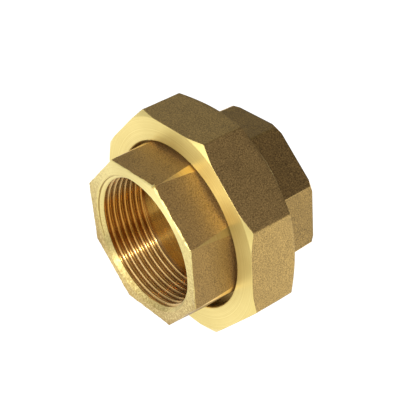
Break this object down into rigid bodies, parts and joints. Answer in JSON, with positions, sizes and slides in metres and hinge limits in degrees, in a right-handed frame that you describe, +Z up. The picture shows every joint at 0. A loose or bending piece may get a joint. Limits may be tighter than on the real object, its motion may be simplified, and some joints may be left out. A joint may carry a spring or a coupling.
{
  "type": "pipe union",
  "caption": "Brass pipe union with female pipe threads at both ends and an octagonal union nut that draws the halves together.",
  "frame": {"origin": "on the axis of the bore, midway between the two end faces with the nut tight", "axes": "+Y along the bore towards the threaded body's mouth, +Z up with the nut lying on one of its flats, +X to the right seen from the tail end"},
  "size_m": [0.075, 0.0516, 0.075],
  "materials": {
    "tail_brass": "flats shot-blasted, face and bore machined bright",
    "nut_brass": "flats shot-blasted, faces and chamfers turned bright",
    "body_brass": "flats shot-blasted, face and bore machined bright",
    "gasket": "matt"
  },
  "bodies": {
    "body_end": {"threaded_body": "body_brass"},
    "seal": {"seal_gasket": "gasket"},
    "tail": {"tail_end": "tail_brass"},
    "nut": {"union_nut": "nut_brass"}
  },
  "joints": [
    {"name": "halves_part", "type": "slide", "parent": "body_end", "child": "seal", "axis": [0, -1, 0], "range_m": [0, 0.0071]},
    {"name": "nut_turn", "type": "hinge", "parent": "seal", "child": "nut", "pos_m": [0, -0.0014, 0], "axis": [0, -1, 0], "range_deg": [0, 1260]},
    {"name": "tail_swivel", "type": "hinge", "parent": "seal", "child": "tail", "pos_m": [0, -0.0136, 0], "axis": [0, -1, 0], "continuous": true}
  ],
  "couplings": [
    {"joint": "halves_part", "follows": "nut_turn", "m_per_rad": 0.00031831}
  ]
}
